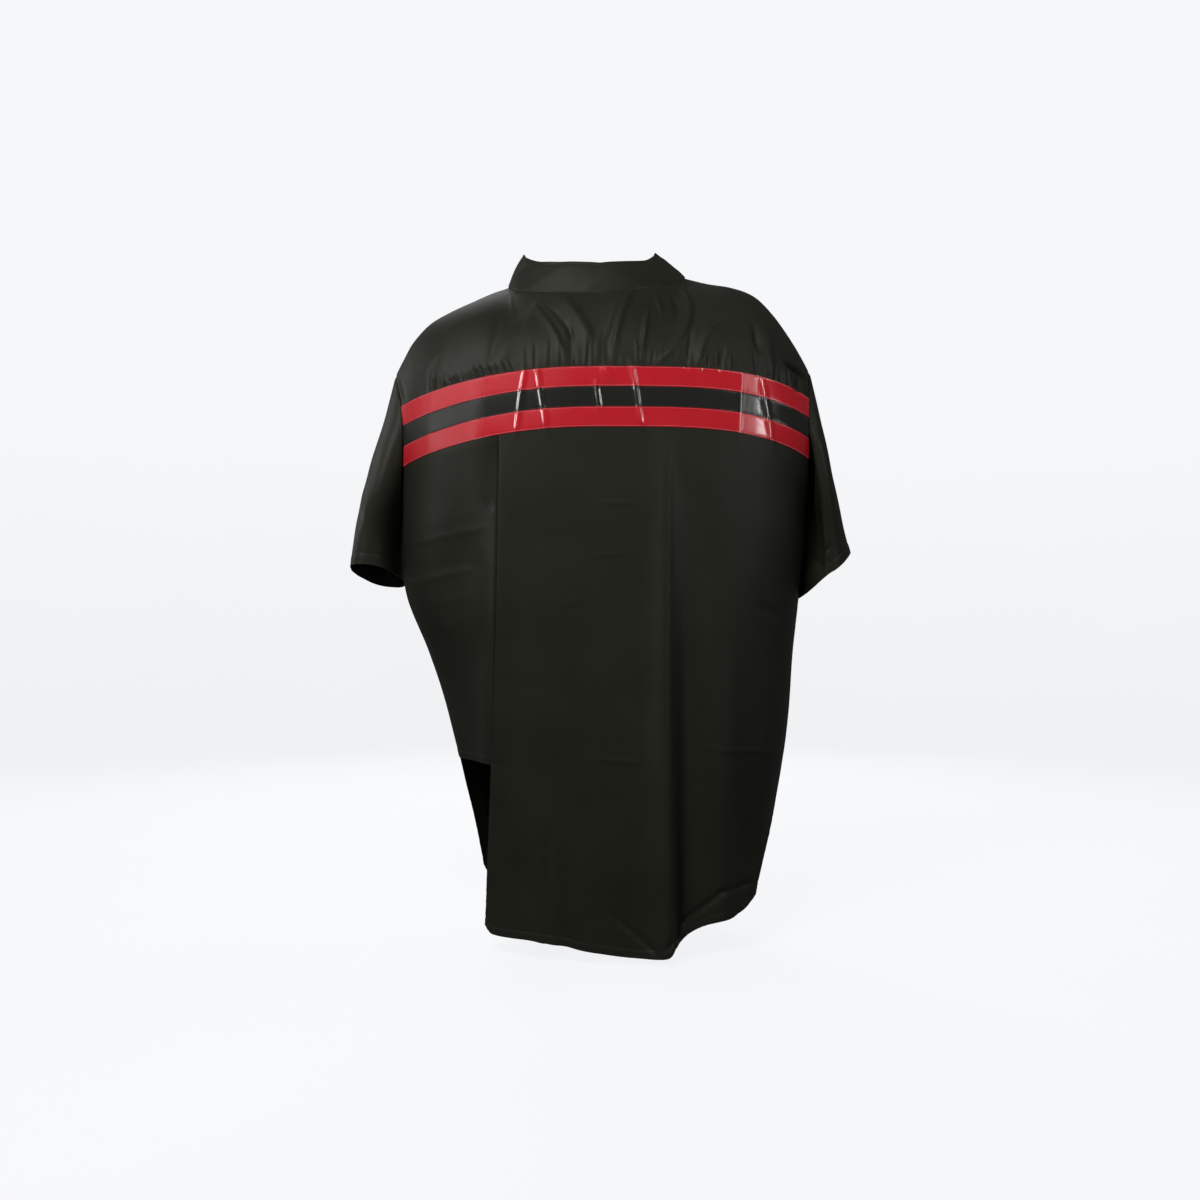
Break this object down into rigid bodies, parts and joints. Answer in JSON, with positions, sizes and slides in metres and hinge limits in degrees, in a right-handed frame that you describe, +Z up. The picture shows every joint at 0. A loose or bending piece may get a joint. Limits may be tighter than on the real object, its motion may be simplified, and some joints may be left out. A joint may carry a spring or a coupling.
{
  "type": "ribbon shirt",
  "caption": "Short-sleeved dark satin shirt with a stand collar, a gathered back yoke and red, black and red satin ribbons across the back, filled out as when worn.",
  "frame": {"origin": "middle of the neck opening at the height of the shoulders, where the wearer's neck and shoulders hold the shirt", "axes": "+X towards the wearer's right side, +Y the way the wearer faces, +Z up"},
  "size_m": [0.581, 0.2634, 0.7904],
  "materials": {
    "satin_cloth": "black satin with a soft sheen",
    "red_ribbon": "glossy red satin ribbon",
    "black_ribbon": "glossy black satin ribbon",
    "button": "polished black"
  },
  "bodies": {
    "root": {"back_yoke": "satin_cloth", "back_lower": "satin_cloth", "ribbon_top": "red_ribbon", "ribbon_middle": "black_ribbon", "ribbon_bottom": "red_ribbon", "front_left": "satin_cloth", "front_right": "satin_cloth", "sleeve_left": "satin_cloth", "sleeve_right": "satin_cloth", "collar_stand": "satin_cloth", "button_collar": "button", "button_1": "button", "button_2": "button", "button_3": "button", "button_4": "button", "button_5": "button", "button_6": "button", "button_7": "button"}
  },
  "joints": []
}
